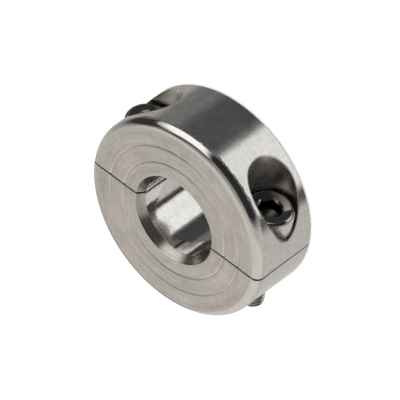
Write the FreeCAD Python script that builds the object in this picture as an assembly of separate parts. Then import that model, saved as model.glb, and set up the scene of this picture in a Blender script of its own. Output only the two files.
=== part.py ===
import FreeCAD, Part
import math, os

# Two-piece clamping shaft collar for a 10 mm shaft.
# A turned stainless ring is sawn in two across its bore. Two socket-head cap
# screws stand in counterbores of the upper half and pull it down on to the
# tapped lower half, so that the bore closes on the shaft all the way round.
# Frame: Z is the shaft axis, the plain back face lies on Z = 0 and the grooved
# front face looks along +Z. X runs along the saw cut and the screw heads look
# along +Y. All sizes are in millimetres.

# Turned ring
bore_diameter = 10.0
outer_diameter = 25.0
ring_width = 9.0
front_bore_chamfer = 0.65
front_bore_chamfer_depth = 1.0
back_bore_chamfer = 0.4
front_edge_radius = 1.0
back_edge_chamfer = 0.2

# Two shallow V grooves in the front face
inner_groove_diameter = 14.9
outer_groove_diameter = 19.0
groove_width = 0.3
groove_depth = 0.08

# Saw cut across the ring, as it stands with the collar closed on its shaft
split_gap = 0.2

# Places of the two screws: in from the outside of the ring, up from its back
# face, and the counterbore's floor out from the middle of the bore
screw_to_outside = 3.5
screw_axis_height = 4.1
seat_height = 2.9

# Socket-head cap screw, M3, its head measured over the knurl
thread_diameter = 3.0
screw_length = 12.0
head_diameter = 5.68
head_height = 3.0
head_top_chamfer = 0.3
head_foot_chamfer = 0.12
socket_across_flats = 2.5
socket_depth = 1.5
socket_mouth_chamfer = 0.2
socket_drill_angle = 120.0
point_chamfer = 0.42

# How far each hexagon socket is turned about its screw's own axis
left_socket_turn = 44.0
right_socket_turn = 57.0

# Fits between the screws and the ring, each one on the radius
head_clearance = 0.26
shank_clearance = 0.2
thread_clearance = 0.03
thread_lead_in = 0.25

# Room for cutting tools beyond the surface that they cut
overrun = 1.0

bore_radius = bore_diameter / 2
outer_radius = outer_diameter / 2
thread_radius = thread_diameter / 2
head_radius = head_diameter / 2
counterbore_radius = head_radius + head_clearance
clearance_hole_radius = thread_radius + shank_clearance
tapped_hole_radius = thread_radius + thread_clearance
half_gap = split_gap / 2
screw_offset = outer_radius - screw_to_outside

UP = FreeCAD.Vector(0, 1, 0)
SHAFT = FreeCAD.Vector(0, 0, 1)


def point(r, z):
    return FreeCAD.Vector(r, 0, z)


def line(a, b):
    return Part.LineSegment(point(*a), point(*b)).toShape()


def arc(a, middle, b):
    return Part.Arc(point(*a), point(*middle), point(*b)).toShape()


def revolve(edges):
    face = Part.Face(Part.Wire(edges))
    return face.revolve(FreeCAD.Vector(0, 0, 0), SHAFT, 360)


def turned_ring():
    """The whole ring as it leaves the lathe: half of its section, turned about the bore."""
    front = ring_width
    mouth = bore_radius + front_bore_chamfer
    flat_edge = outer_radius - front_edge_radius
    edges = [
        line((bore_radius, back_bore_chamfer), (bore_radius, front - front_bore_chamfer_depth)),
        line((bore_radius, front - front_bore_chamfer_depth), (mouth, front)),
    ]
    start = (mouth, front)
    for groove_diameter in (inner_groove_diameter, outer_groove_diameter):
        middle = groove_diameter / 2
        near = (middle - groove_width / 2, front)
        far = (middle + groove_width / 2, front)
        edges.append(line(start, near))
        edges.append(line(near, (middle, front - groove_depth)))
        edges.append(line((middle, front - groove_depth), far))
        start = far
    edges.append(line(start, (flat_edge, front)))
    corner_z = front - front_edge_radius
    out = front_edge_radius * math.cos(math.radians(45))
    edges.append(arc((flat_edge, front), (flat_edge + out, corner_z + out), (outer_radius, corner_z)))
    back_edge = outer_radius - back_edge_chamfer
    edges.append(line((outer_radius, corner_z), (outer_radius, back_edge_chamfer)))
    edges.append(line((outer_radius, back_edge_chamfer), (back_edge, 0)))
    edges.append(line((back_edge, 0), (bore_radius + back_bore_chamfer, 0)))
    edges.append(line((bore_radius + back_bore_chamfer, 0), (bore_radius, back_bore_chamfer)))
    return revolve(edges)


def half_space(side):
    """A block that holds everything beyond the saw cut, on the +Y side or the -Y side."""
    reach = outer_radius + overrun
    block = Part.makeBox(2 * reach, reach, ring_width + 2 * overrun)
    low_y = half_gap if side > 0 else -half_gap - reach
    block.translate(FreeCAD.Vector(-reach, low_y, -overrun))
    return block


def screw_centre(side, y):
    """A point on the axis of the left (-1) or right (+1) screw."""
    return FreeCAD.Vector(side * screw_offset, y, screw_axis_height)


def upper_half(ring):
    """The half that the screw heads bear on, with counterbores cut down from the outside."""
    half = ring.common(half_space(1))
    for side in (-1, 1):
        pocket = Part.makeCylinder(counterbore_radius, outer_radius + overrun - seat_height,
                                   screw_centre(side, seat_height), UP)
        hole = Part.makeCylinder(clearance_hole_radius, seat_height + overrun,
                                 screw_centre(side, half_gap - overrun), UP)
        half = half.cut(pocket).cut(hole)
    return half


def lower_half(ring):
    """The tapped half. Its holes run right through and have a short lead-in at the saw cut."""
    half = ring.common(half_space(-1))
    for side in (-1, 1):
        hole = Part.makeCylinder(tapped_hole_radius, outer_radius + overrun,
                                 screw_centre(side, overrun - half_gap), -UP)
        mouth = Part.makeCone(tapped_hole_radius + thread_lead_in, tapped_hole_radius,
                              thread_lead_in, screw_centre(side, -half_gap), -UP)
        half = half.cut(hole).cut(mouth)
    return half


def cap_screw():
    """One socket-head cap screw on the Z axis, with the underside of its head on Z = 0."""
    crown = head_radius - head_top_chamfer
    crown_z = head_height - head_top_chamfer
    tip = thread_radius - point_chamfer
    body = revolve([
        line((0, -screw_length), (tip, -screw_length)),
        line((tip, -screw_length), (thread_radius, point_chamfer - screw_length)),
        line((thread_radius, point_chamfer - screw_length), (thread_radius, 0)),
        line((thread_radius, 0), (head_radius - head_foot_chamfer, 0)),
        line((head_radius - head_foot_chamfer, 0), (head_radius, head_foot_chamfer)),
        line((head_radius, head_foot_chamfer), (head_radius, crown_z)),
        line((head_radius, crown_z), (crown, head_height)),
        line((crown, head_height), (0, head_height)),
        line((0, head_height), (0, -screw_length)),
    ])
    floor = head_height - socket_depth
    corner_radius = socket_across_flats / math.sqrt(3)
    corners = []
    for k in range(7):
        angle = math.radians(60 * k)
        corners.append(FreeCAD.Vector(corner_radius * math.cos(angle),
                                      corner_radius * math.sin(angle), floor))
    hexagon = Part.Face(Part.makePolygon(corners))
    socket = hexagon.extrude(FreeCAD.Vector(0, 0, socket_depth + overrun))
    drill_radius = socket_across_flats / 2
    drill_depth = drill_radius / math.tan(math.radians(socket_drill_angle / 2))
    drill = Part.makeCone(drill_radius, 0, drill_depth, FreeCAD.Vector(0, 0, floor), -SHAFT)
    mouth_radius = corner_radius + socket_mouth_chamfer / 2
    mouth = Part.makeCone(mouth_radius, mouth_radius - 2 * socket_mouth_chamfer,
                          2 * socket_mouth_chamfer, FreeCAD.Vector(0, 0, head_height), -SHAFT)
    return body.cut(socket).cut(drill).cut(mouth)


def placed_screw(side, socket_turn):
    """A screw with its head on the counterbore's floor and its point through the lower half."""
    screw = cap_screw()
    screw.rotate(FreeCAD.Vector(0, 0, 0), SHAFT, socket_turn)
    screw.rotate(FreeCAD.Vector(0, 0, 0), FreeCAD.Vector(1, 0, 0), -90)
    screw.translate(screw_centre(side, seat_height))
    return screw


os.makedirs("parts", exist_ok=True)
ring = turned_ring()
pieces = {
    "upper_half": upper_half(ring),
    "lower_half": lower_half(ring),
    "left_screw": placed_screw(-1, left_socket_turn),
    "right_screw": placed_screw(1, right_socket_turn),
}
for name, shape in pieces.items():
    solid = shape.Solids[0]
    print(name, "solids", len(shape.Solids), "valid", solid.isValid(), "volume", round(solid.Volume, 3))
    solid.exportStep("parts/" + name + ".step")
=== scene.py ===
import bpy
import math
from mathutils import Matrix


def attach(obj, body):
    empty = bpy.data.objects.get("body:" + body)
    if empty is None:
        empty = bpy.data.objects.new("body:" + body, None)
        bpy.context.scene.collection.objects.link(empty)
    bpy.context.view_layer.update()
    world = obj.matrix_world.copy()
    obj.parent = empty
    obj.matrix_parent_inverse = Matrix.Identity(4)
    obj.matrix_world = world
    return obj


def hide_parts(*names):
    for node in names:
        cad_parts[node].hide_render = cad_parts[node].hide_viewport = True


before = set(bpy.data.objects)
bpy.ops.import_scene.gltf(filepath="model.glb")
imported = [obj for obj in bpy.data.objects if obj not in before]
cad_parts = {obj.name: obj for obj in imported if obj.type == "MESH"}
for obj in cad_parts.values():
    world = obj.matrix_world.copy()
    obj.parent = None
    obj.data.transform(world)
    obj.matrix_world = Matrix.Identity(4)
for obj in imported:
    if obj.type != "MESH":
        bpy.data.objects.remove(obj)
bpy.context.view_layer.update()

# The turned blank: a ring of stainless bar, bored for a 10 mm shaft, chamfered at both
# mouths, rounded at its front edge and marked with two fine V grooves in the lathe.
mm = 0.001
bore_radius = 5.0 * mm
outer_radius = 12.5 * mm
ring_width = 9.0 * mm
front_chamfer = 0.65 * mm
front_chamfer_depth = 1.0 * mm
back_chamfer = 0.4 * mm
edge_rounding = 1.0 * mm
back_edge = 0.2 * mm
groove_radii = (7.45 * mm, 9.5 * mm)
groove_width = 0.3 * mm
groove_depth = 0.08 * mm
rounding_steps = 16
weld = 0.0005 * mm


def ring_section():
    """Corners of the ring's section, out from the axis and up, walked round once."""
    corners = [(bore_radius, back_chamfer), (bore_radius, ring_width - front_chamfer_depth),
               (bore_radius + front_chamfer, ring_width)]
    for middle in groove_radii:
        corners.append((middle - groove_width / 2, ring_width))
        corners.append((middle, ring_width - groove_depth))
        corners.append((middle + groove_width / 2, ring_width))
    for step in range(rounding_steps + 1):
        angle = math.pi / 2 * (1 - step / rounding_steps)
        corners.append((outer_radius - edge_rounding * (1 - math.cos(angle)),
                        ring_width - edge_rounding * (1 - math.sin(angle))))
    corners.append((outer_radius, back_edge))
    corners.append((outer_radius - back_edge, 0))
    corners.append((bore_radius + back_chamfer, 0))
    return corners


def section_object(name, corners, closed):
    """A bare line of edges in the XZ plane, for the lathe tree to turn."""
    count = len(corners)
    edges = [(i, (i + 1) % count) for i in range(count if closed else count - 1)]
    mesh = bpy.data.meshes.new(name)
    mesh.from_pydata([(r, 0.0, z) for r, z in corners], edges, [])
    section = bpy.data.objects.new(name, mesh)
    bpy.context.scene.collection.objects.link(section)
    return section


def place(tree, kind, inputs=(), **settings):
    """Adds one node to a tree. inputs maps a socket to a value or to the output that feeds it."""
    node = tree.nodes.new(kind)
    for name, value in settings.items():
        setattr(node, name, value)
    for socket, value in dict(inputs).items():
        if isinstance(value, bpy.types.NodeSocket):
            tree.links.new(value, node.inputs[socket])
        else:
            node.inputs[socket].default_value = value
    return node


def math_node(tree, operation, *values, clamp=False):
    """The output of one Math node."""
    return place(tree, "ShaderNodeMath", dict(enumerate(values)), operation=operation,
                 use_clamp=clamp).outputs[0]


def new_group(name, kind, inputs, outputs):
    """An empty node group with named sockets, and its input and output nodes."""
    tree = bpy.data.node_groups.new(name, kind)
    for label, socket, value in inputs:
        made = tree.interface.new_socket(label, in_out="INPUT", socket_type=socket)
        if value is not None:
            made.default_value = value
    for label, socket in outputs:
        tree.interface.new_socket(label, in_out="OUTPUT", socket_type=socket)
    return tree, tree.nodes.new("NodeGroupInput"), tree.nodes.new("NodeGroupOutput")


FLOAT = "NodeSocketFloat"
WHOLE = "NodeSocketInt"
GEOMETRY = "NodeSocketGeometry"

# The lathe: sweeps a section once round the Z axis in so many steps.
lathe, given, made = new_group(
    "lathe", "GeometryNodeTree",
    [("Section", GEOMETRY, None), ("Steps", WHOLE, 96), ("Path Radius", FLOAT, bore_radius)],
    [("Turned", GEOMETRY)])
tree = lathe
g = given.outputs
inward = place(tree, "ShaderNodeCombineXYZ",
               {"X": math_node(tree, "MULTIPLY", g["Path Radius"], -1.0)})
outline = place(tree, "GeometryNodeMeshToCurve", {"Mesh": g["Section"]})
laid = place(tree, "GeometryNodeTransform",
             {"Geometry": outline.outputs[0], "Translation": inward.outputs[0],
              "Rotation": (math.pi / 2, 0.0, 0.0)})
path = place(tree, "GeometryNodeCurvePrimitiveCircle",
             {"Resolution": g["Steps"], "Radius": g["Path Radius"]})
swept = place(tree, "GeometryNodeCurveToMesh",
              {"Curve": path.outputs[0], "Profile Curve": laid.outputs[0]})
closed_up = place(tree, "GeometryNodeMergeByDistance",
                  {"Geometry": swept.outputs[0], "Distance": weld})
tree.links.new(closed_up.outputs[0], made.inputs["Turned"])

# The saw cut and the screw holes: the blank is sawn in two along X and drilled for two
# screws along Y. One tree makes either half: it takes away all that lies beyond the saw
# cut, then drills both screw places alike, with a cylinder and with a cone.
screw_offset = 9.0 * mm
screw_height = 4.1 * mm
seat = 2.9 * mm
saw_gap = 0.2 * mm
counterbore_radius = 3.1 * mm
clearance_radius = 1.7 * mm
tapped_radius = 1.53 * mm
lead_in = 0.25 * mm
overrun = 1.0 * mm
drill_steps = 128
cone_steps = 96
ring_crisp_angle = 20
MATERIAL = "NodeSocketMaterial"

half_maker, given, made = new_group(
    "collar_half", "GeometryNodeTree",
    [("Section", GEOMETRY, None), ("Steps", WHOLE, 360), ("Bore Radius", FLOAT, bore_radius),
     ("Reach", FLOAT, outer_radius + overrun), ("Side", FLOAT, 1.0), ("Saw Gap", FLOAT, saw_gap),
     ("Screw Offset", FLOAT, screw_offset), ("Screw Height", FLOAT, screw_height),
     ("Drill Radius", FLOAT, counterbore_radius), ("Drill Start", FLOAT, 0.0),
     ("Drill Depth", FLOAT, outer_radius), ("Cone Near Radius", FLOAT, clearance_radius),
     ("Cone Far Radius", FLOAT, clearance_radius), ("Cone Start", FLOAT, 0.0),
     ("Cone Depth", FLOAT, seat), ("Steel", MATERIAL, None)],
    [("Half", GEOMETRY)])
tree = half_maker
g = given.outputs
blank = place(tree, "GeometryNodeGroup",
              {"Section": g["Section"], "Steps": g["Steps"], "Path Radius": g["Bore Radius"]},
              node_tree=lathe)
span = math_node(tree, "MULTIPLY", g["Reach"], 2.0)
block_size = place(tree, "ShaderNodeCombineXYZ", {"X": span, "Y": g["Reach"], "Z": span})
block = place(tree, "GeometryNodeMeshCube", {"Size": block_size.outputs[0]})
cut_from = math_node(tree, "SUBTRACT", math_node(tree, "MULTIPLY", g["Saw Gap"], 0.5),
                     math_node(tree, "MULTIPLY", g["Reach"], 0.5))
block_place = place(tree, "ShaderNodeCombineXYZ",
                    {"Y": math_node(tree, "MULTIPLY", cut_from, g["Side"])})
beyond_saw = place(tree, "GeometryNodeTransform",
                   {"Geometry": block.outputs[0], "Translation": block_place.outputs[0]})
first_screw = place(tree, "ShaderNodeCombineXYZ",
                    {"X": math_node(tree, "MULTIPLY", g["Screw Offset"], -1.0),
                     "Z": g["Screw Height"]})
to_second = place(tree, "ShaderNodeCombineXYZ",
                  {"X": math_node(tree, "MULTIPLY", g["Screw Offset"], 2.0)})
screw_places = place(tree, "GeometryNodeMeshLine",
                     {"Count": 2, "Start Location": first_screw.outputs[0],
                      "Offset": to_second.outputs[0]})


def drilled_pair(tool, start, depth, centred):
    """A cutter that stands on Z, laid along the screws and set at both of their places.

    centred is for a cylinder, whose own middle lies at half its depth. A cone stands
    on its near end.
    """
    laid_over = place(half_maker, "GeometryNodeTransform",
                      {"Geometry": tool, "Rotation": (-math.pi / 2, 0.0, 0.0)})
    middle = math_node(half_maker, "MULTIPLY_ADD", depth, 0.5 if centred else 0.0, start)
    shift = place(half_maker, "ShaderNodeCombineXYZ", {"Y": middle})
    moved = place(half_maker, "GeometryNodeTransform",
                  {"Geometry": laid_over.outputs[0], "Translation": shift.outputs[0]})
    pair = place(half_maker, "GeometryNodeInstanceOnPoints",
                 {"Points": screw_places.outputs[0], "Instance": moved.outputs[0]})
    return place(half_maker, "GeometryNodeRealizeInstances", {"Geometry": pair.outputs[0]}).outputs[0]


def dressed(tree, shape, crisp_angle, steel):
    """Shades a shape smooth up to crisp_angle degrees, makes it real and gives it its steel."""
    smooth = place(tree, "GeometryNodeSetShadeSmooth", {"Geometry": shape})
    bend = place(tree, "GeometryNodeInputMeshEdgeAngle")
    corner = place(tree, "FunctionNodeCompare",
                   {0: bend.outputs["Unsigned Angle"], 1: math.radians(crisp_angle)},
                   data_type="FLOAT", operation="GREATER_THAN")
    crisp = place(tree, "GeometryNodeSetShadeSmooth",
                  {"Geometry": smooth.outputs[0], "Selection": corner.outputs[0],
                   "Shade Smooth": False}, domain="EDGE")
    real = place(tree, "GeometryNodeRealizeInstances", {"Geometry": crisp.outputs[0]})
    return place(tree, "GeometryNodeSetMaterial",
                 {"Geometry": real.outputs[0], "Material": steel}).outputs[0]


drill = place(tree, "GeometryNodeMeshCylinder",
              {"Vertices": drill_steps, "Radius": g["Drill Radius"], "Depth": g["Drill Depth"]})
cone = place(tree, "GeometryNodeMeshCone",
             {"Vertices": cone_steps, "Radius Top": g["Cone Far Radius"],
              "Radius Bottom": g["Cone Near Radius"], "Depth": g["Cone Depth"]})
cut = place(tree, "GeometryNodeMeshBoolean", {"Mesh 1": blank.outputs[0]},
            operation="DIFFERENCE", solver="MANIFOLD")
for tool in (beyond_saw.outputs[0],
             drilled_pair(drill.outputs[0], g["Drill Start"], g["Drill Depth"], True),
             drilled_pair(cone.outputs[0], g["Cone Start"], g["Cone Depth"], False)):
    tree.links.new(tool, cut.inputs["Mesh 2"])
tree.links.new(dressed(tree, cut.outputs["Mesh"], ring_crisp_angle, g["Steel"]), made.inputs["Half"])


def made_by(name, tree, section, sizes):
    """Runs a tree with these named sizes on a section and returns a plain mesh object."""
    way = section.modifiers.new(name, "NODES")
    way.node_group = tree
    sockets = {item.name: item.identifier for item in tree.interface.items_tree
               if item.item_type == "SOCKET" and item.in_out == "INPUT"}
    for label, value in sizes.items():
        way[sockets[label]] = value
    even = section.modifiers.new("even_shading", "WEIGHTED_NORMAL")
    even.keep_sharp = True
    even.weight = 90
    seen = bpy.context.evaluated_depsgraph_get()
    mesh = bpy.data.meshes.new_from_object(
        section.evaluated_get(seen), preserve_all_data_layers=True, depsgraph=seen)
    mesh.name = name
    piece = bpy.data.objects.new(name, mesh)
    bpy.context.scene.collection.objects.link(piece)
    bpy.data.objects.remove(section)
    return piece


# The steel of the ring: one bar of stainless steel whose surfaces were each left by
# another cut. They share a warm grey and differ in how light, shiny and marked they are.
VECTOR = "NodeSocketVector"
COLOUR = "NodeSocketColor"


def split(tree, vector):
    """The three numbers of a vector."""
    return place(tree, "ShaderNodeSeparateXYZ", {0: vector}).outputs


def from_middle(tree, first, second):
    """How far the point (first, second) lies from the middle of its plane."""
    squared = math_node(tree, "MULTIPLY", second, second)
    return math_node(tree, "SQRT", math_node(tree, "MULTIPLY_ADD", first, first, squared))


def soft_step(tree, value, start, end):
    """0 up to start, 1 from end on and a smooth run between them."""
    return place(tree, "ShaderNodeMapRange", {"Value": value, "From Min": start, "From Max": end},
                 interpolation_type="SMOOTHSTEP").outputs[0]


# Tool marks: lines that lie side by side along the tool's feed. Along is the way that
# the tool travelled, in millimetres, and Round the way that the work turned.
tool_marks, given, made = new_group(
    "tool_marks", "ShaderNodeTree",
    [("Along", FLOAT, 0.0), ("Round", FLOAT, 0.0), ("Lines per mm", FLOAT, 12.0),
     ("Length", FLOAT, 0.15)],
    [("Height", FLOAT), ("Tone", FLOAT)])
tree = tool_marks
g = given.outputs
wide_tone = 0.6
wide_stretch = (0.17, 0.6, 1.0)
lines = math_node(tree, "MULTIPLY", g["Along"], g["Lines per mm"])
drift = math_node(tree, "MULTIPLY", g["Round"], g["Length"])
spot = place(tree, "ShaderNodeCombineXYZ", {"X": lines, "Y": drift})
fine = place(tree, "ShaderNodeTexNoise",
             {"Vector": spot.outputs[0], "Scale": 1.0, "Detail": 3.0, "Roughness": 0.6})
wide_spot = place(tree, "ShaderNodeVectorMath", {0: spot.outputs[0], 1: wide_stretch},
                  operation="MULTIPLY")
wide = place(tree, "ShaderNodeTexNoise", {"Vector": wide_spot.outputs[0], "Scale": 1.0, "Detail": 2.0})
both = math_node(tree, "MULTIPLY_ADD", wide.outputs["Fac"], wide_tone, fine.outputs["Fac"])
tree.links.new(fine.outputs["Fac"], made.inputs["Height"])
tree.links.new(math_node(tree, "SUBTRACT", both, wide_tone / 2), made.inputs["Tone"])

# Handling: the cloudy unevenness and fine grain of a tumbled surface, hairline scratches
# that all lie one way, and nicks. Nicks keep to places of their own, of which Bare Share
# have none. Sizes are in millimetres.
handling, given, made = new_group(
    "handling", "ShaderNodeTree",
    [("Position", VECTOR, None), ("Cloud Size", FLOAT, 1.2), ("Grain Size", FLOAT, 0.25),
     ("Nick Size", FLOAT, 0.16), ("Nick Places per mm", FLOAT, 0.45), ("Bare Share", FLOAT, 0.45)],
    [("Cloud", FLOAT), ("Grain", FLOAT), ("Scratch", FLOAT), ("Nick", FLOAT)])
tree = handling
g = given.outputs
scratch_turn = (0.5, 0.9, 0.35)
scratch_stretch = (0.35, 9.0, 9.0)
scratch_from = 0.68
scratch_full = 0.74
in_mm = place(tree, "ShaderNodeVectorMath", {0: g["Position"], 3: 1 / mm}, operation="SCALE")
cloud = place(tree, "ShaderNodeTexNoise",
              {"Vector": in_mm.outputs[0], "Scale": math_node(tree, "DIVIDE", 1.0, g["Cloud Size"]),
               "Detail": 3.0, "Roughness": 0.6})
grain = place(tree, "ShaderNodeTexNoise",
              {"Vector": in_mm.outputs[0], "Scale": math_node(tree, "DIVIDE", 1.0, g["Grain Size"]),
               "Detail": 2.0, "Roughness": 0.6})
lay = place(tree, "ShaderNodeMapping",
            {"Vector": in_mm.outputs[0], "Rotation": scratch_turn, "Scale": scratch_stretch})
hair = place(tree, "ShaderNodeTexNoise", {"Vector": lay.outputs[0], "Scale": 1.0, "Detail": 1.0})
scratch = soft_step(tree, hair.outputs["Fac"], scratch_from, scratch_full)
struck = place(tree, "ShaderNodeTexVoronoi",
               {"Vector": in_mm.outputs[0], "Scale": g["Nick Places per mm"]})
from_nick = math_node(tree, "DIVIDE", struck.outputs["Distance"], g["Nick Places per mm"])
blow = soft_step(tree, from_nick, g["Nick Size"], 0.0)
chosen = math_node(tree, "GREATER_THAN", split(tree, struck.outputs["Color"])[0], g["Bare Share"])
tree.links.new(math_node(tree, "MULTIPLY", blow, chosen), made.inputs["Nick"])
tree.links.new(cloud.outputs["Fac"], made.inputs["Cloud"])
tree.links.new(grain.outputs["Fac"], made.inputs["Grain"])
tree.links.new(scratch, made.inputs["Scratch"])

# Edge break: how far the surface falls away at the rims of the screw holes, along both
# sides of the saw cut, in the fine line where the rounding ends on the face and over the
# ragged foot where it begins on the outside. Sizes are in millimetres.
edge_break, given, made = new_group(
    "edge_break", "ShaderNodeTree",
    [("Position", VECTOR, None), ("Screw Offset", FLOAT, screw_offset / mm),
     ("Screw Height", FLOAT, screw_height / mm), ("Counterbore", FLOAT, counterbore_radius / mm),
     ("Tapped Hole", FLOAT, tapped_radius / mm), ("Half Gap", FLOAT, saw_gap / 2 / mm),
     ("Width", FLOAT, 0.1), ("Face Line", FLOAT, (outer_radius - edge_rounding) / mm),
     ("Line Width", FLOAT, 0.09), ("Line Depth", FLOAT, 0.004),
     ("Side Line", FLOAT, (ring_width - edge_rounding) / mm), ("Foot Least", FLOAT, -0.17),
     ("Foot Wander", FLOAT, 0.9), ("Foot Overlap", FLOAT, 0.1), ("Foot Depth", FLOAT, 0.026)],
    [("Fall", FLOAT)])
tree = edge_break
g = given.outputs
in_mm = place(tree, "ShaderNodeVectorMath", {0: g["Position"], 3: 1 / mm}, operation="SCALE")
x, y, z = split(tree, in_mm.outputs[0])
across = math_node(tree, "SUBTRACT", math_node(tree, "ABSOLUTE", x), g["Screw Offset"])
along = math_node(tree, "SUBTRACT", z, g["Screw Height"])
hole = place(tree, "ShaderNodeMix",
             {0: math_node(tree, "GREATER_THAN", y, 0.0), 2: g["Tapped Hole"], 3: g["Counterbore"]})
from_rim = math_node(tree, "SUBTRACT", from_middle(tree, across, along), hole.outputs[0])
from_saw = math_node(tree, "SUBTRACT", math_node(tree, "ABSOLUTE", y), g["Half Gap"])
nearest = math_node(tree, "MINIMUM", from_rim, from_saw)
share_off = math_node(tree, "DIVIDE", nearest, g["Width"])
near_edge = math_node(tree, "SUBTRACT", 1.0, share_off, clamp=True)
edge_fall = math_node(tree, "MULTIPLY", math_node(tree, "POWER", near_edge, 1.5), g["Width"])
off_line = math_node(tree, "ABSOLUTE", math_node(
    tree, "SUBTRACT", from_middle(tree, x, y), g["Face Line"]))
in_line = soft_step(tree, off_line, g["Line Width"], 0.0)
line_fall = math_node(tree, "MULTIPLY_ADD", in_line, g["Line Depth"], edge_fall)
wander = place(tree, "ShaderNodeTexNoise",
               {"Vector": in_mm.outputs[0], "Scale": 0.9, "Detail": 3.0, "Roughness": 0.65})
foot_start = math_node(tree, "MULTIPLY_ADD", wander.outputs["Fac"], g["Foot Wander"], g["Foot Least"])
at_foot = place(tree, "ShaderNodeMapRange",
                {"Value": math_node(tree, "SUBTRACT", g["Side Line"], z), "From Min": foot_start,
                 "From Max": math_node(tree, "MULTIPLY", g["Foot Overlap"], -1.0)})
all_fall = math_node(tree, "MULTIPLY_ADD", at_foot.outputs[0], g["Foot Depth"], line_fall)
tree.links.new(all_fall, made.inputs["Fall"])

# Painted bore shade: a brownish darkening painted low down in the bore, on one side of it,
# standing for the shade that the ring throws on the board below as the bore reflects it. It is
# full below Low and gone above High, and on its own side it thins out over Fade to nothing at
# the bore's middle. Tint is what it lets through: white where no shade is painted.
painted_bore_shade, given, made = new_group(
    "painted_bore_shade", "ShaderNodeTree",
    [("Position", VECTOR, None), ("Painted Shade", COLOUR, (0.40, 0.36, 0.31, 1.0)),
     ("Low", FLOAT, 1.2 * mm), ("High", FLOAT, 2.8 * mm), ("Side", VECTOR, (-0.574, 0.819, 0.0)),
     ("Fade", FLOAT, 1.8 * mm)],
    [("Tint", COLOUR)])
tree = painted_bore_shade
g = given.outputs
low_down = soft_step(tree, split(tree, g["Position"])[2], g["High"], g["Low"])
to_side = place(tree, "ShaderNodeVectorMath", {0: g["Position"], 1: g["Side"]}, operation="DOT_PRODUCT")
on_side = soft_step(tree, to_side.outputs["Value"], 0.0, g["Fade"])
shade_mix = place(tree, "ShaderNodeMix",
             {0: math_node(tree, "MULTIPLY", low_down, on_side), 6: (1.0, 1.0, 1.0, 1.0),
              7: g["Painted Shade"]}, data_type="RGBA")
tree.links.new(shade_mix.outputs[2], made.inputs["Tint"])

# how the tool marks and the handling tell on any of the steels
round_per_radian = 10.0
turn_per_saw_metre = 40.0
scratch_depth = 0.0008
scratch_dull = 0.2
least_dull = 0.75
cloud_dull = 0.5


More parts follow.
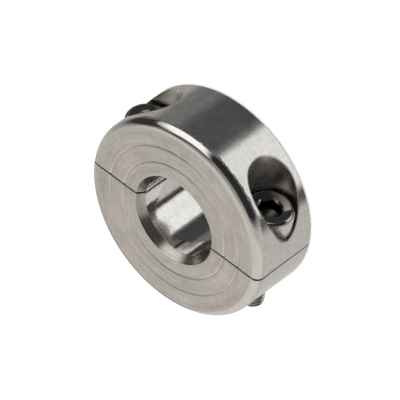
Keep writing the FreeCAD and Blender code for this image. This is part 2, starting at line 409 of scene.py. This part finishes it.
def cut_steel(name, colour, roughness, feed, lines_per_mm=6.0, depth=0.001, streak=0.15,
              turned=0.0, tone=0.1, clouds=0.004, cloud_size=0.9, cloud_tone=0.1, grain=0.0005,
              grain_tone=0.15, scratches=0.3, nicks=0.0, broken=0.0, scatter=0.0, bore_shaded=False):
    """A cut surface. feed says which way the tool travelled: out, up, along the saw or the screw.

    Heights are in millimetres: depth of the tool marks, clouds of the tumbled
    unevenness, grain of its finest part, nicks, and broken, the width of broken edges.
    turned is how far the marks draw the light out across them, scatter the share of it
    that the finest marks send every way, and bore_shaded says that painted shade darkens the surface
    low in the bore.
    """
    steel = bpy.data.materials.new(name)
    steel.use_nodes = True
    tree = steel.node_tree
    shader = tree.nodes["Principled BSDF"]
    shader.inputs["Metallic"].default_value = 1.0 - scatter
    shader.inputs["Anisotropic"].default_value = turned
    position = place(tree, "ShaderNodeTexCoord").outputs["Object"]
    x, y, z = split(tree, position)
    round_x, round_y = x, y
    if feed == "screw":
        # a screw and its hole turn about their own axis, left and right alike
        beside = math_node(tree, "SUBTRACT", math_node(tree, "ABSOLUTE", x), screw_offset)
        round_x = math_node(tree, "MULTIPLY", math_node(tree, "SIGN", x), beside)
        round_y = math_node(tree, "SUBTRACT", z, screw_height)
    out = from_middle(tree, round_x, round_y)
    turn = math_node(tree, "ARCTAN2", round_y, round_x)
    if feed == "out":
        along = out
    elif feed == "up":
        along = z
    elif feed == "saw":
        # a saw doesn't turn its work: its marks run up the ring
        along = x
        turn = math_node(tree, "MULTIPLY", z, turn_per_saw_metre)
    elif feed == "screw":
        along = math_node(tree, "ADD", y, out)
    marks = place(tree, "ShaderNodeGroup",
                  {"Along": math_node(tree, "MULTIPLY", along, 1 / mm),
                   "Round": math_node(tree, "MULTIPLY", turn, round_per_radian)},
                  node_tree=tool_marks)
    marks.inputs["Lines per mm"].default_value = lines_per_mm
    marks.inputs["Length"].default_value = streak
    wear = place(tree, "ShaderNodeGroup", {"Position": position}, node_tree=handling)
    wear.inputs["Cloud Size"].default_value = cloud_size
    # colour: the bare metal, a little darker down in the marks, the grain and the clouds
    shade = math_node(tree, "MULTIPLY_ADD", marks.outputs["Tone"], tone, 1.0 - tone / 2)
    off_grain = math_node(tree, "SUBTRACT", wear.outputs["Grain"], 0.5)
    shade = math_node(tree, "MULTIPLY_ADD", off_grain, grain_tone * 2, shade)
    off_cloud = math_node(tree, "SUBTRACT", wear.outputs["Cloud"], 0.5)
    shade = math_node(tree, "MULTIPLY_ADD", off_cloud, cloud_tone * 2, shade)
    metal = place(tree, "ShaderNodeVectorMath", {0: colour, 3: shade}, operation="SCALE")
    # painted shade: the colour is darkened low down in the bore, standing for the ring's shade on the
    # board
    if bore_shaded:
        bore_shade = place(tree, "ShaderNodeGroup", {"Position": position}, node_tree=painted_bore_shade)
        metal = place(tree, "ShaderNodeVectorMath",
                      {0: metal.outputs[0], 1: bore_shade.outputs["Tint"]}, operation="MULTIPLY")
    tree.links.new(metal.outputs[0], shader.inputs["Base Color"])
    # shine: clouds of duller metal, and scratches that scatter the light
    clouded = math_node(tree, "MULTIPLY_ADD", wear.outputs["Cloud"], roughness * cloud_dull,
                        roughness * least_dull)
    rubbed = math_node(tree, "MULTIPLY_ADD", wear.outputs["Scratch"], scratches * scratch_dull,
                       clouded)
    tree.links.new(rubbed, shader.inputs["Roughness"])
    # relief: tool marks, the tumbled unevenness and its grain, scratches, nicks, broken edges
    relief = math_node(tree, "MULTIPLY", marks.outputs["Height"], depth)
    relief = math_node(tree, "MULTIPLY_ADD", wear.outputs["Cloud"], clouds, relief)
    relief = math_node(tree, "MULTIPLY_ADD", wear.outputs["Grain"], grain, relief)
    relief = math_node(tree, "MULTIPLY_ADD", wear.outputs["Scratch"], -scratch_depth * scratches,
                       relief)
    relief = math_node(tree, "MULTIPLY_ADD", wear.outputs["Nick"], -nicks, relief)
    if broken:
        rim = place(tree, "ShaderNodeGroup", {"Position": position}, node_tree=edge_break)
        rim.inputs["Width"].default_value = broken
        relief = math_node(tree, "SUBTRACT", relief, rim.outputs["Fall"])
    bump = place(tree, "ShaderNodeBump", {"Height": relief, "Strength": 1.0, "Distance": mm})
    tree.links.new(bump.outputs[0], shader.inputs["Normal"])
    if turned:
        # the grain of a turned face runs round its own axis
        back = math_node(tree, "MULTIPLY", round_y, -1.0)
        ends = {"X": back, "Z": round_x} if feed == "screw" else {"X": back, "Y": round_x}
        circle = place(tree, "ShaderNodeCombineXYZ", ends)
        grain_way = place(tree, "ShaderNodeVectorTransform", {0: circle.outputs[0]},
                          vector_type="VECTOR", convert_from="OBJECT", convert_to="WORLD")
        round_way = place(tree, "ShaderNodeVectorMath", {0: grain_way.outputs[0]},
                          operation="NORMALIZE")
        tree.links.new(round_way.outputs[0], shader.inputs["Tangent"])
    return steel


bare_steel = (0.62, 0.607, 0.59)
dull_steel = (0.59, 0.566, 0.536)
faced_steel = cut_steel("faced_steel", dull_steel, 0.3, "out", lines_per_mm=2.5, depth=0.002,
                        streak=0.12, tone=0.6, turned=0.3, clouds=0.005, cloud_size=1.4,
                        cloud_tone=0.2, grain=0.001, grain_tone=0.22, nicks=0.006, broken=0.08)
outside_steel = cut_steel("outside_steel", bare_steel, 0.14, "up", lines_per_mm=4.0, depth=0.0006,
                          tone=0.08, clouds=0.010, cloud_tone=0.2, grain=0.0014, grain_tone=0.2,
                          nicks=0.010, broken=0.14, scatter=0.03)
rounded_steel = cut_steel("rounded_steel", bare_steel, 0.07, "up", lines_per_mm=5.0, depth=0.0004,
                          tone=0.08, clouds=0.007, grain=0.0006, grain_tone=0.14, nicks=0.02,
                          broken=0.08)
# the bore and its chamfers are darkened low down by painted shade
bored_steel = cut_steel("bored_steel", (0.685, 0.675, 0.66), 0.08, "up", lines_per_mm=6.0,
                        depth=0.0005, tone=0.1, clouds=0.009, cloud_tone=0.2, grain=0.001,
                        grain_tone=0.25, scatter=0.02, bore_shaded=True)
chamfer_steel = cut_steel("chamfer_steel", (0.35, 0.333, 0.312), 0.18, "out", lines_per_mm=9.0,
                          depth=0.004, tone=1.4, turned=0.4, clouds=0.003, broken=0.06,
                          scatter=0.07, bore_shaded=True)
drilled_steel = cut_steel("drilled_steel", (0.44, 0.425, 0.405), 0.28, "screw", lines_per_mm=5.0,
                          depth=0.002, tone=0.15, turned=0.4, clouds=0.002, scatter=0.06)
sawn_steel = cut_steel("sawn_steel", (0.55, 0.54, 0.52), 0.38, "saw", lines_per_mm=6.0,
                       depth=0.012, tone=0.25, clouds=0.004)
ring_steels = [drilled_steel, faced_steel, outside_steel, rounded_steel, bored_steel,
               chamfer_steel, sawn_steel]

# how much of a face's normal has to point one way for a cut to be known by it, and how
# near the face has to lie to that cut's own surface
square_on = 0.99
flat_on = 0.8
slanted = 0.6
rounded = 0.02
tiny = 0.02 * mm


def ring_steel(centre, normal):
    """The steel of one face of the ring, by the cut that left it."""
    x, y, z = centre
    out = math.hypot(x, y)
    radial = (x * normal.x + y * normal.y) / out
    if abs(y) < saw_gap / 2 + tiny and abs(normal.y) > square_on:
        return sawn_steel
    if out > outer_radius - edge_rounding and z > ring_width - edge_rounding and (
            normal.z > rounded and radial > rounded):
        return rounded_steel
    if radial > slanted and out > outer_radius - back_edge:
        return outside_steel
    if abs(normal.z) > flat_on:
        return faced_steel
    if radial < -square_on and out < bore_radius + tiny:
        return bored_steel
    if radial < -slanted and out < bore_radius + front_chamfer:
        return chamfer_steel
    return drilled_steel


def sort_faces(piece, steels, steel_of):
    """Gives each face the steel that steel_of finds for its centre and its normal."""
    piece.data.materials.clear()
    for steel in steels:
        piece.data.materials.append(steel)
    for face in piece.data.polygons:
        face.material_index = steels.index(steel_of(face.center, face.normal))


# Lower half: the half of the ring that the screws are driven into. It is tapped for both,
# with a short lead-in at the saw cut, and the holes run out through its round outside.
lower_section = section_object("lower_section", ring_section(), True)
lower = made_by("lower_half_turned", half_maker, lower_section, {
    "Side": -1.0, "Steel": drilled_steel,
    "Drill Radius": tapped_radius, "Drill Start": -outer_radius - overrun,
    "Drill Depth": outer_radius + overrun * 2,
    "Cone Near Radius": tapped_radius, "Cone Far Radius": tapped_radius + lead_in * 2,
    "Cone Start": -saw_gap / 2 - lead_in, "Cone Depth": lead_in * 2})
sort_faces(lower, ring_steels, ring_steel)
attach(lower, "lower_half")
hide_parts("lower_half")

# Upper half: the half of the ring that the screw heads bear on. It is counterbored for
# them from the round outside, with plain clearance holes on down to the saw cut.
upper_section = section_object("upper_section", ring_section(), True)
upper = made_by("upper_half_turned", half_maker, upper_section, {
    "Side": 1.0, "Steel": drilled_steel,
    "Drill Radius": counterbore_radius, "Drill Start": seat,
    "Drill Depth": outer_radius + overrun - seat,
    "Cone Near Radius": clearance_radius, "Cone Far Radius": clearance_radius,
    "Cone Start": -overrun, "Cone Depth": seat + overrun * 2})
sort_faces(upper, ring_steels, ring_steel)
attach(upper, "upper_half")
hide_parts("upper_half")

# The cap screws: M3 by 12 mm in stainless steel, cold headed, with a straight knurl
# rolled round the head, a pressed hexagon socket and a rolled thread. They stand on the
# floors of the counterbores and pull the upper half down on to the lower one.
head_radius = 2.84 * mm
head_height = 3.0 * mm
head_top_edge = 0.5 * mm
head_foot_edge = 0.12 * mm
crown_steps = 6
knurl_teeth = 64
knurl_depth = 0.13 * mm
steps_per_tooth = 4
socket_flats = 2.5 * mm
socket_depth = 1.5 * mm
socket_mouth = 0.2 * mm
thread_radius = 1.5 * mm
thread_core = 1.19 * mm
thread_pitch = 0.5 * mm
thread_turns = 25
steps_per_turn = 48
screw_length = 12.0 * mm
point_chamfer = 0.42 * mm
shank_top = 0.1 * mm
plain_from = -0.7 * mm
plain_full = -0.15 * mm
plain_share = 0.93
thread_weld = 0.001 * mm
punch_steps = 48
dish_steps = 72
screw_crisp_angle = 28


def head_section():
    """The head's section from the middle of its top, over the rounded edge, to its underside."""
    corners = [(0.0, head_height)]
    for step in range(crown_steps + 1):
        angle = math.pi / 2 * (1 - step / crown_steps)
        corners.append((head_radius - head_top_edge * (1 - math.cos(angle)),
                        head_height - head_top_edge * (1 - math.sin(angle))))
    corners.append((head_radius, head_foot_edge))
    corners.append((head_radius - head_foot_edge, 0.0))
    corners.append((0.0, 0.0))
    return corners


screw_maker, given, made = new_group(
    "cap_screw", "GeometryNodeTree",
    [("Section", GEOMETRY, None), ("Head Radius", FLOAT, head_radius),
     ("Head Height", FLOAT, head_height), ("Teeth", WHOLE, knurl_teeth),
     ("Tooth Depth", FLOAT, knurl_depth), ("Socket Flats", FLOAT, socket_flats),
     ("Socket Depth", FLOAT, socket_depth), ("Socket Mouth", FLOAT, socket_mouth),
     ("Socket Turn", FLOAT, 0.0), ("Thread Radius", FLOAT, thread_radius),
     ("Core Radius", FLOAT, thread_core), ("Pitch", FLOAT, thread_pitch),
     ("Length", FLOAT, screw_length), ("Turns", WHOLE, thread_turns),
     ("Point Chamfer", FLOAT, point_chamfer), ("Place", VECTOR, None), ("Steel", MATERIAL, None)],
    [("Screw", GEOMETRY)])
tree = screw_maker
g = given.outputs

# the knurl: each tooth is a few steps of the lathe, and its valley cuts the head's outline
turned_head = place(tree, "GeometryNodeGroup",
                    {"Section": g["Section"], "Path Radius": g["Head Radius"],
                     "Steps": math_node(tree, "MULTIPLY", g["Teeth"], steps_per_tooth)},
                    node_tree=lathe)
x, y, z = split(tree, place(tree, "GeometryNodeInputPosition").outputs[0])
out = from_middle(tree, x, y)
tooth = math_node(tree, "MULTIPLY", math_node(tree, "ARCTAN2", y, x), g["Teeth"])
valley = math_node(tree, "MULTIPLY_ADD", math_node(tree, "COSINE", tooth), -0.5, 0.5)
valley_out = math_node(tree, "SUBTRACT", g["Head Radius"],
                       math_node(tree, "MULTIPLY", valley, g["Tooth Depth"]))
kept = math_node(tree, "DIVIDE", math_node(tree, "MINIMUM", out, valley_out),
                 math_node(tree, "MAXIMUM", out, weld))
knurled_at = place(tree, "ShaderNodeCombineXYZ",
                   {"X": math_node(tree, "MULTIPLY", x, kept),
                    "Y": math_node(tree, "MULTIPLY", y, kept), "Z": z})
head = place(tree, "GeometryNodeSetPosition",
             {"Geometry": turned_head.outputs[0], "Position": knurled_at.outputs[0]})

# the thread: a sheet of rows that climb with the helix, rolled up into a shank. Its rows
# are the two corners of the root and the two of the crest, each at its share of a pitch.
root_rows = (0.0, 0.25)
crest_rows = (0.5625, 0.6875)
rows_per_turn = len(root_rows + crest_rows)
rows = math_node(tree, "MULTIPLY_ADD", g["Turns"], rows_per_turn, rows_per_turn + 1)
last_row = math_node(tree, "SUBTRACT", rows, 1.0)
sheet = place(tree, "GeometryNodeMeshGrid",
              {"Size X": 1.0, "Size Y": 1.0, "Vertices X": steps_per_turn + 1, "Vertices Y": rows})
flat = split(tree, place(tree, "GeometryNodeInputPosition").outputs[0])
turn_share = math_node(tree, "ADD", flat[0], 0.5)
row = math_node(tree, "ROUND", math_node(
    tree, "MULTIPLY", math_node(tree, "SUBTRACT", 0.5, flat[1]), last_row))
corner_number = math_node(tree, "MODULO", row, rows_per_turn)
whole_turns = math_node(tree, "FLOOR", math_node(tree, "DIVIDE", row, rows_per_turn))
phase = place(tree, "GeometryNodeIndexSwitch", {"Index": corner_number}, data_type="FLOAT")
thread_out = place(tree, "GeometryNodeIndexSwitch", {"Index": corner_number}, data_type="FLOAT")
for switch in (phase, thread_out):
    switch.index_switch_items.new()
    switch.index_switch_items.new()
for number, share in enumerate(root_rows + crest_rows):
    phase.inputs[str(number)].default_value = share
    row_out = g["Core Radius"] if share in root_rows else g["Thread Radius"]
    tree.links.new(row_out, thread_out.inputs[str(number)])
climb = math_node(tree, "SUBTRACT", math_node(tree, "ADD", turn_share, 0.5),
                  math_node(tree, "ADD", whole_turns, phase.outputs[0]))
free_z = math_node(tree, "MULTIPLY", climb, g["Pitch"])
tip_z = math_node(tree, "MULTIPLY", g["Length"], -1.0)
shank_z = math_node(tree, "MINIMUM", math_node(tree, "MAXIMUM", free_z, tip_z), shank_top)
point_out = math_node(tree, "ADD", math_node(tree, "SUBTRACT", g["Thread Radius"], g["Point Chamfer"]),
                      math_node(tree, "SUBTRACT", shank_z, tip_z))
plain = soft_step(tree, shank_z, plain_from, plain_full)
plain_out = math_node(tree, "MULTIPLY", g["Thread Radius"], plain_share)
rolled_out = place(tree, "ShaderNodeMix", {0: plain, 2: thread_out.outputs[0], 3: plain_out})
end_row = math_node(tree, "MINIMUM", row, math_node(tree, "SUBTRACT", last_row, row))
solid_end = math_node(tree, "MINIMUM", end_row, 1.0)
shank_out = math_node(tree, "MULTIPLY", solid_end, math_node(
    tree, "MINIMUM", rolled_out.outputs[0], point_out))
turn_angle = math_node(tree, "MULTIPLY", turn_share, 2 * math.pi)
shank_at = place(tree, "ShaderNodeCombineXYZ",
                 {"X": math_node(tree, "MULTIPLY", shank_out, math_node(tree, "COSINE", turn_angle)),
                  "Y": math_node(tree, "MULTIPLY", shank_out, math_node(tree, "SINE", turn_angle)),
                  "Z": shank_z})
rolled = place(tree, "GeometryNodeSetPosition",
               {"Geometry": sheet.outputs[0], "Position": shank_at.outputs[0]})
shank = place(tree, "GeometryNodeMergeByDistance",
              {"Geometry": rolled.outputs[0], "Distance": thread_weld})


# the socket: a hexagon, the cone of the punch's point below it and a dished mouth
def set_tool(tool, height, turn=0.0):
    """A cutter moved up the screw to its height, and turned."""
    shift = place(screw_maker, "ShaderNodeCombineXYZ", {"Z": height})
    twist = place(screw_maker, "ShaderNodeCombineXYZ", {"Z": turn})
    return place(screw_maker, "GeometryNodeTransform",
                 {"Geometry": tool.outputs[0], "Translation": shift.outputs[0],
                  "Rotation": twist.outputs[0]})


socket_floor = math_node(tree, "SUBTRACT", g["Head Height"], g["Socket Depth"])
hexagon_radius = math_node(tree, "DIVIDE", g["Socket Flats"], math.sqrt(3))
hexagon_depth = math_node(tree, "MULTIPLY", g["Socket Depth"], 2.0)
hexagon = place(tree, "GeometryNodeMeshCylinder",
                {"Vertices": 6, "Radius": hexagon_radius, "Depth": hexagon_depth})
punch_depth = math_node(tree, "MULTIPLY", g["Socket Flats"], 0.5 / math.sqrt(3))
punch_radius = math_node(tree, "MULTIPLY", g["Socket Flats"], 0.5)
punch = place(tree, "GeometryNodeMeshCone",
              {"Vertices": punch_steps, "Radius Top": punch_radius, "Radius Bottom": 0.0,
               "Depth": punch_depth})
mouth_radius = math_node(tree, "MULTIPLY_ADD", g["Socket Mouth"], 0.5, hexagon_radius)
mouth_depth = math_node(tree, "MULTIPLY", g["Socket Mouth"], 2.0)
dish = place(tree, "GeometryNodeMeshCone",
             {"Vertices": dish_steps,
              "Radius Top": math_node(tree, "ADD", mouth_radius, g["Socket Mouth"]),
              "Radius Bottom": math_node(tree, "SUBTRACT", mouth_radius, mouth_depth),
              "Depth": math_node(tree, "MULTIPLY", g["Socket Mouth"], 3.0)})
whole = place(tree, "GeometryNodeMeshBoolean", operation="UNION", solver="MANIFOLD")
tree.links.new(head.outputs[0], whole.inputs["Mesh 2"])
tree.links.new(shank.outputs[0], whole.inputs["Mesh 2"])
pressed = place(tree, "GeometryNodeMeshBoolean", {"Mesh 1": whole.outputs["Mesh"]},
                operation="DIFFERENCE", solver="MANIFOLD")
for tool in (set_tool(hexagon, g["Head Height"], g["Socket Turn"]),
             set_tool(punch, math_node(tree, "SUBTRACT", socket_floor, punch_depth)),
             set_tool(dish, math_node(tree, "SUBTRACT", g["Head Height"], mouth_depth))):
    tree.links.new(tool.outputs[0], pressed.inputs["Mesh 2"])
laid_down = place(tree, "GeometryNodeTransform",
                  {"Geometry": pressed.outputs["Mesh"], "Translation": g["Place"],
                   "Rotation": (-math.pi / 2, 0.0, 0.0)})
tree.links.new(dressed(tree, laid_down.outputs[0], screw_crisp_angle, g["Steel"]),
               made.inputs["Screw"])

headed_steel = cut_steel("headed_steel", (0.39, 0.378, 0.36), 0.1, "screw", lines_per_mm=6.0,
                         depth=0.0006, tone=0.1, clouds=0.003, grain=0.0006, grain_tone=0.2)
knurled_steel = cut_steel("knurled_steel", (0.5, 0.48, 0.45), 0.24, "screw", lines_per_mm=6.0,
                          depth=0.002, tone=0.3, clouds=0.006, grain=0.003, grain_tone=0.5,
                          scatter=0.2)
threaded_steel = cut_steel("threaded_steel", (0.42, 0.405, 0.385), 0.2, "screw", lines_per_mm=6.0,
                           depth=0.001, tone=0.2, clouds=0.004, grain=0.002, grain_tone=0.3,
                           scatter=0.03)
# the socket's steel is painted nearly black: painted shade for the deep recess of the socket
painted_shade_socket_steel = cut_steel("painted_shade_socket_steel", (0.085, 0.082, 0.076), 0.28, "screw", lines_per_mm=4.0,
                         depth=0.002, tone=0.3, clouds=0.006, grain_tone=0.2)
screw_steels = [threaded_steel, knurled_steel, headed_steel, painted_shade_socket_steel]
socket_reach = socket_flats * 0.6
upward = 0.3


def screw_steel(centre, normal):
    """The steel of one face of a screw: its thread, its knurl, its smooth top or its socket."""
    x = centre.x - math.copysign(screw_offset, centre.x)
    z = centre.z - screw_height
    top = seat + head_height
    outward = x * normal.x + z * normal.z > 0
    if math.hypot(x, z) < socket_reach and centre.y > seat and (
            normal.y < slanted or centre.y < top - socket_mouth * 2):
        return painted_shade_socket_steel
    if centre.y > top - head_top_edge and (outward or normal.y > upward):
        return headed_steel
    if centre.y > seat - tiny:
        return knurled_steel
    return threaded_steel


for name, side, turn in (("left_screw", -1, 44.0), ("right_screw", 1, 57.0)):
    section = section_object(name + "_section", head_section(), False)
    screw = made_by(name + "_knurled", screw_maker, section, {
        "Socket Turn": math.radians(turn), "Steel": threaded_steel,
        "Place": (side * screw_offset, seat, screw_height)})
    sort_faces(screw, screw_steels, screw_steel)
    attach(screw, name)
    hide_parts(name)

# The floor: a plain white board that takes the collar's soft shadow. The polished steel
# looks through it at the studio below. Only inside the bore does the steel see the shade
# that the ring throws on the board, on the side that lies past shade_start.
board_reach = 1.5
shade_way = (0.423, 0.906, 0.0)
shade_start = 3.4 * mm
shade_full = 4.6 * mm
floor_mesh = bpy.data.meshes.new("floor")
floor_mesh.from_pydata([(-board_reach, -board_reach, 0), (board_reach, -board_reach, 0),
                        (board_reach, board_reach, 0), (-board_reach, board_reach, 0)],
                       [], [(0, 1, 2, 3)])
floor = bpy.data.objects.new("floor", floor_mesh)
bpy.context.scene.collection.objects.link(floor)
white_board = bpy.data.materials.new("white_board")
white_board.use_nodes = True
tree = white_board.node_tree
paint = tree.nodes["Principled BSDF"]
paint.inputs["Base Color"].default_value = (0.96, 0.96, 0.96, 1.0)
paint.inputs["Roughness"].default_value = 1.0
paint.inputs["Specular IOR Level"].default_value = 0.0
on_board = place(tree, "ShaderNodeTexCoord").outputs["Object"]
along_shade = place(tree, "ShaderNodeVectorMath", {0: on_board, 1: shade_way}, operation="DOT_PRODUCT")
from_bore = place(tree, "ShaderNodeVectorMath", {0: on_board}, operation="LENGTH")
shaded = math_node(
    tree, "MULTIPLY", soft_step(tree, along_shade.outputs["Value"], shade_start, shade_full),
    math_node(tree, "LESS_THAN", from_bore.outputs["Value"], bore_radius + back_chamfer))
clear = place(tree, "ShaderNodeBsdfTransparent")
shade = place(tree, "ShaderNodeEmission", {"Color": (0.28, 0.262, 0.225, 1.0)})
steel_sees = place(tree, "ShaderNodeMixShader", {0: shaded, 1: clear.outputs[0], 2: shade.outputs[0]})
all_see = place(tree, "ShaderNodeMixShader",
                {0: place(tree, "ShaderNodeLightPath").outputs["Is Glossy Ray"],
                 1: paint.outputs[0], 2: steel_sees.outputs[0]})
tree.links.new(all_see.outputs[0], tree.nodes["Material Output"].inputs["Surface"])
floor_mesh.materials.append(white_board)

# The light: an even white tent, in whose place the steel's reflections show a bare room
# hung with white and black cards. Each card is a patch of direction, in degrees: its sides
# by azimuth from +X towards +Y, its ends by height. Later ones hang in front.
studio_card, given, made = new_group(
    "studio_card", "ShaderNodeTree",
    [("Behind", COLOUR, (0, 0, 0, 1)), ("Azimuth", FLOAT, 0.0), ("Height", FLOAT, 0.0),
     ("Card", COLOUR, (1, 1, 1, 1)), ("From", FLOAT, 0.0), ("To", FLOAT, 90.0),
     ("From Softness", FLOAT, 5.0), ("To Softness", FLOAT, 5.0), ("Bottom", FLOAT, -30.0),
     ("Top", FLOAT, 30.0), ("Bottom Softness", FLOAT, 5.0), ("Top Softness", FLOAT, 5.0)],
    [("Seen", COLOUR)])
tree = studio_card
g = given.outputs


def card_side(inside, softness):
    """1 well inside a card's edge and 0 well outside it."""
    return soft_step(studio_card, inside, math_node(studio_card, "MULTIPLY", softness, -1.0), softness)


middle = math_node(tree, "MULTIPLY", math_node(tree, "ADD", g["From"], g["To"]), 0.5)
half_width = math_node(tree, "MULTIPLY", math_node(tree, "SUBTRACT", g["To"], g["From"]), 0.5)
turned_to = math_node(tree, "WRAP", math_node(tree, "SUBTRACT", g["Azimuth"], middle), 180.0, -180.0)
sides = math_node(
    tree, "MULTIPLY",
    card_side(math_node(tree, "ADD", turned_to, half_width), g["From Softness"]),
    card_side(math_node(tree, "SUBTRACT", half_width, turned_to), g["To Softness"]))
ends = math_node(
    tree, "MULTIPLY",
    card_side(math_node(tree, "SUBTRACT", g["Height"], g["Bottom"]), g["Bottom Softness"]),
    card_side(math_node(tree, "SUBTRACT", g["Top"], g["Height"]), g["Top Softness"]))
seen = place(tree, "ShaderNodeMix",
             {0: math_node(tree, "MULTIPLY", sides, ends), 6: g["Behind"], 7: g["Card"]},
             data_type="RGBA")
tree.links.new(seen.outputs[2], made.inputs["Seen"])

tent = (1.7, 1.7, 1.7, 1.0)
bare_room = (0.665, 0.642, 0.612, 1.0)
cards = (
    # name, from, to, their softness, bottom, top, their softness, colour
    ("room", 250, 350, 8, 9, -12, 66, 8, 12, (0.89, 0.842, 0.785)),
    ("upper room", 195, 300, 10, 12, 45, 95, 8, 1, (0.87, 0.83, 0.78)),
    ("low window left", 217, 238, 4, 4, -32, -8, 2, 7, (0.71, 0.70, 0.685)),
    ("low window right", 253, 271, 5, 7, -34, -10, 2, 6, (0.75, 0.737, 0.72)),
    ("grey room", 236, 252, 5, 5, -11, 24, 5, 8, (0.46, 0.44, 0.42)),
    ("dim ceiling", 20, 184, 14, 8, 36, 76, 8, 8, (0.38, 0.37, 0.355)),
    ("window head", 92, 176, 6, 8, 47, 61, 4, 3, (0.10, 0.097, 0.094)),
    ("left room", 182, 205, 6, 9, -31, 42, 2, 10, (0.42, 0.41, 0.40)),
    ("bright window", 96, 146, 7, 7, -21, 43, 3, 7, (1.50, 1.49, 1.47)),
    ("black card right", 11, 91, 9, 4, -32, 45, 2, 10, (0.034, 0.034, 0.036)),
    ("black card left", 154, 189, 3, 8, -32, 43, 2, 10, (0.048, 0.046, 0.046)),
    ("under the table", -200, 200, 1, 1, -92, -56, 1, 6, (0.22, 0.215, 0.21)),
    ("bright table", 14, 91, 7, 5, -58, -33, 5, 1.5, (1.17, 1.165, 1.15)),
    ("grey table", 86, 180, 4, 10, -92, -22, 1, 3, (0.195, 0.192, 0.19)),
    ("black table", 93, 141, 3, 8, -92, -22, 1, 3, (0.062, 0.061, 0.063)),
    ("grey table left", 180, 232, 12, 14, -92, -32, 1, 1.5, (0.44, 0.425, 0.41)),
    ("table seam", 355, 371, 6, 3, -92, -32, 1, 1.5, (0.06, 0.058, 0.056)),
)
studio = bpy.data.worlds.new("studio")
bpy.context.scene.world = studio
studio.use_nodes = True
studio.cycles.sampling_method = "NONE"
tree = studio.node_tree
looking = split(tree, place(tree, "ShaderNodeTexCoord").outputs["Generated"])
azimuth = math_node(tree, "MULTIPLY", math_node(tree, "ARCTAN2", looking[1], looking[0]),
                    math.degrees(1))
height = math_node(tree, "MULTIPLY", math_node(tree, "ARCSINE", looking[2]), math.degrees(1))
seen = bare_room
for label, start, stop, start_soft, stop_soft, bottom, top, bottom_soft, top_soft, colour in cards:
    card = place(tree, "ShaderNodeGroup",
                 {"Behind": seen, "Azimuth": azimuth, "Height": height, "Card": (*colour, 1.0),
                  "From": start, "To": stop, "From Softness": start_soft, "To Softness": stop_soft,
                  "Bottom": bottom, "Top": top, "Bottom Softness": bottom_soft,
                  "Top Softness": top_soft}, node_tree=studio_card, label=label)
    seen = card.outputs[0]
ray = place(tree, "ShaderNodeLightPath")
light = place(tree, "ShaderNodeMix", {0: ray.outputs["Is Glossy Ray"], 6: tent, 7: seen},
              data_type="RGBA")
tree.links.new(light.outputs[2], tree.nodes["Background"].inputs["Color"])

# The camera: far off with a long lens, out past the screw heads on their +X side and
# above the front face, and rolled so that the bore runs down to the left.
camera = bpy.data.objects.new("camera", bpy.data.cameras.new("camera"))
bpy.context.scene.collection.objects.link(camera)
bpy.context.scene.camera = camera
camera.data.sensor_width = 36.0
camera.data.lens = 387.62
camera.data.clip_start = 0.01
camera.data.clip_end = 20.0
right = (0.741503, 0.135608, -0.657102)
up = (-0.544713, 0.693481, -0.471563)
back = (0.39174, 0.707598, 0.588086)
eye = (0.188557, 0.340896, 0.287615)
camera.matrix_world = Matrix([(right[i], up[i], back[i], eye[i]) for i in range(3)] + [(0, 0, 0, 1)])

bpy.context.scene.view_settings.view_transform = "Standard"
